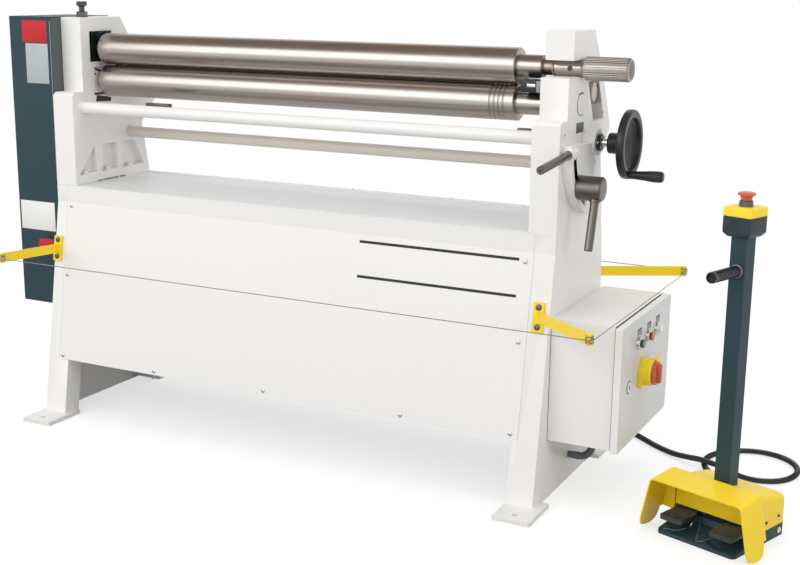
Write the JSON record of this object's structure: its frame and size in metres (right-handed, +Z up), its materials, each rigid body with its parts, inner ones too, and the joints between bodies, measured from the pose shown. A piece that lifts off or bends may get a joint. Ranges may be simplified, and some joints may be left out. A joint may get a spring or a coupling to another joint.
{
  "type": "powered plate rolling machine",
  "caption": "Powered plate rolling machine with pinch rolls and a rear bending roll in side frames, on a folded stand with a switch cabinet, trip wire and foot pedestal.",
  "frame": {"origin": "on the floor, in the middle of the bounding box without the pedal hose", "axes": "+X along the rolls towards the release handle and cabinet, +Y towards the rear roll, +Z up; the operator stands at -Y"},
  "size_m": [2.2756, 0.8598, 1.2043],
  "materials": {
    "white_paint": "satin powder coat, off-white",
    "grey_paint": "satin powder coat, light grey",
    "teal_paint": "satin powder coat, dark blue-green",
    "yellow_paint": "semi-gloss safety yellow",
    "cream_paint": "satin, cream",
    "roll_steel": "turned and ground steel",
    "dark_steel": "blackened steel",
    "cast_iron": "bare or black cast iron",
    "bearing_bronze": "bronze bearing block",
    "black_plastic": "matt black plastic",
    "teal_plastic": "dark blue-green plastic",
    "yellow_plastic": "glossy yellow plastic",
    "red_plastic": "glossy red plastic",
    "green_plastic": "glossy green plastic",
    "lens": "white lens",
    "black_rubber": "black rubber"
  },
  "bodies": {
    "machine": {"roll_end_rest": "cast_iron", "left_side_frame": "white_paint", "right_side_frame": "white_paint", "left_stand_end": "white_paint", "right_stand_end": "white_paint", "front_tie_rod": "white_paint", "rear_tie_rod": "cream_paint", "front_panel": "white_paint", "rear_panel": "white_paint", "base_top_plate": "grey_paint", "gear_cover": "teal_paint", "gearbox": "cast_iron", "motor": "teal_paint", "drive_chain": "dark_steel", "cabinet_box": "white_paint", "cabinet_conduit": "black_plastic", "front_left_trip_arm": "yellow_paint", "front_right_trip_arm": "yellow_paint", "rear_left_trip_arm": "yellow_paint", "rear_right_trip_arm": "yellow_paint", "trip_wire": "roll_steel", "pedal_base": "teal_paint", "pedal_guard": "yellow_paint", "pedestal_post": "teal_paint", "carry_grip": "black_rubber", "stop_box": "teal_plastic", "stop_box_lid": "yellow_plastic", "machine_hose_gland": "black_plastic", "pedestal_hose_gland": "black_plastic", "pedal_hose": "black_rubber"},
    "top_swing": {"swivel_bearing": "cast_iron", "end_sleeve": "roll_steel", "release_handle": "roll_steel"},
    "top_roll": {"top_roll": "roll_steel"},
    "bottom_lift": {"lower_left_bearing": "white_paint", "lower_right_bearing": "white_paint"},
    "bottom_roll": {"bottom_roll": "roll_steel", "roll_sprocket": "cast_iron"},
    "drive_sprocket": {"drive_sprocket": "cast_iron"},
    "rear_lift": {"rear_left_bearing": "bearing_bronze", "rear_right_bearing": "bearing_bronze"},
    "rear_roll": {"rear_roll": "roll_steel"},
    "pinch_lever": {"pinch_lever_plate": "white_paint", "pinch_lever_bar": "dark_steel"},
    "clamp_lever": {"clamp_lever": "dark_steel"},
    "clamp_screw": {"clamp_screw": "dark_steel"},
    "handwheel": {"handwheel_shaft": "roll_steel", "handwheel": "black_plastic"},
    "crank_grip": {"crank_grip": "black_plastic"},
    "cabinet_door": {"cabinet_door": "grey_paint", "signal_lamp": "lens", "isolator_base": "yellow_plastic"},
    "green_start_button": {"green_start_button": "green_plastic"},
    "red_stop_button": {"red_stop_button": "red_plastic"},
    "isolator_knob": {"isolator_knob": "red_plastic"},
    "stop_mushroom": {"stop_mushroom": "red_plastic"},
    "left_pedal": {"left_pedal": "black_plastic"},
    "right_pedal": {"right_pedal": "black_plastic"}
  },
  "joints": [
    {"name": "top_roll_swing", "type": "hinge", "parent": "machine", "child": "top_swing", "pos_m": [-0.94976, 0, 1.07], "axis": [0, 0, -1], "range_deg": [0, 5]},
    {"name": "top_roll_spin", "type": "hinge", "parent": "top_swing", "child": "top_roll", "pos_m": [-0.24376, 0, 1.07], "axis": [1, 0, 0], "continuous": true},
    {"name": "bottom_roll_lift", "type": "slide", "parent": "machine", "child": "bottom_lift", "axis": [0, 0, 1], "range_m": [-0.006, 0.0012], "deforming": ["drive_chain"]},
    {"name": "bottom_roll_spin", "type": "hinge", "parent": "bottom_lift", "child": "bottom_roll", "pos_m": [-0.24376, 0, 0.9785], "axis": [1, 0, 0], "continuous": true},
    {"name": "drive_sprocket_spin", "type": "hinge", "parent": "machine", "child": "drive_sprocket", "pos_m": [-1.04376, 0.03, 0.45], "axis": [1, 0, 0], "continuous": true},
    {"name": "rear_roll_lift", "type": "slide", "parent": "machine", "child": "rear_lift", "axis": [0, -0.444, 0.896], "range_m": [-0.048, 0]},
    {"name": "rear_roll_spin", "type": "hinge", "parent": "rear_lift", "child": "rear_roll", "pos_m": [-0.24376, 0.1077, 1.0054], "axis": [1, 0, 0], "continuous": true},
    {"name": "pinch_lever_turn", "type": "hinge", "parent": "machine", "child": "pinch_lever", "pos_m": [0.57824, 0.057, 0.886], "axis": [1, 0, 0], "range_deg": [-20.5, 4.5]},
    {"name": "clamp_lever_turn", "type": "hinge", "parent": "machine", "child": "clamp_lever", "pos_m": [0.62224, -0.06198, 0.78792], "axis": [1, 0, 0], "range_deg": [-30, 50]},
    {"name": "clamp_screw_turn", "type": "hinge", "parent": "machine", "child": "clamp_screw", "pos_m": [-0.94976, -0.038, 1.165], "axis": [0, 0, 1], "range_deg": [-180, 180]},
    {"name": "handwheel_turn", "type": "hinge", "parent": "machine", "child": "handwheel", "pos_m": [0.65624, 0.057, 0.886], "axis": [1, 0, 0], "range_deg": [-1442, 2]},
    {"name": "crank_grip_spin", "type": "hinge", "parent": "handwheel", "child": "crank_grip", "pos_m": [0.73624, 0.035, 0.814], "axis": [1, 0, 0], "continuous": true},
    {"name": "cabinet_door_hinge", "type": "hinge", "parent": "machine", "child": "cabinet_door", "pos_m": [0.73524, 0.266, 0.3145], "axis": [0, 0, 1], "range_deg": [0, 110]},
    {"name": "green_button_press", "type": "slide", "parent": "cabinet_door", "child": "green_start_button", "axis": [-1, 0, 0], "range_m": [0, 0.004], "stiffness_N_per_m": 900, "springref_m": -0.002},
    {"name": "red_button_press", "type": "slide", "parent": "cabinet_door", "child": "red_stop_button", "axis": [-1, 0, 0], "range_m": [0, 0.004], "stiffness_N_per_m": 900, "springref_m": -0.002},
    {"name": "isolator_knob_turn", "type": "hinge", "parent": "cabinet_door", "child": "isolator_knob", "pos_m": [0.78624, 0.024, 0.323], "axis": [1, 0, 0], "range_deg": [0, 90]},
    {"name": "stop_mushroom_press", "type": "slide", "parent": "machine", "child": "stop_mushroom", "axis": [0, 0, -1], "range_m": [0, 0.005], "stiffness_N_per_m": 1500, "springref_m": -0.003},
    {"name": "left_pedal_press", "type": "hinge", "parent": "machine", "child": "left_pedal", "pos_m": [0.9985, -0.14123, 0.044], "axis": [0.9455, -0.3256, 0], "range_deg": [0, 8], "stiffness_Nm_per_rad": 6, "springref_deg": -3.44},
    {"name": "right_pedal_press", "type": "hinge", "parent": "machine", "child": "right_pedal", "pos_m": [0.9985, -0.14123, 0.044], "axis": [0.9455, -0.3256, 0], "range_deg": [0, 8], "stiffness_Nm_per_rad": 6, "springref_deg": -3.44}
  ],
  "couplings": [
    {"joint": "drive_sprocket_spin", "follows": "bottom_roll_spin", "ratio": 2},
    {"joint": "pinch_lever_turn", "follows": "bottom_roll_lift", "rad_per_m": 58},
    {"joint": "handwheel_turn", "follows": "rear_roll_lift", "rad_per_m": 523.6}
  ]
}
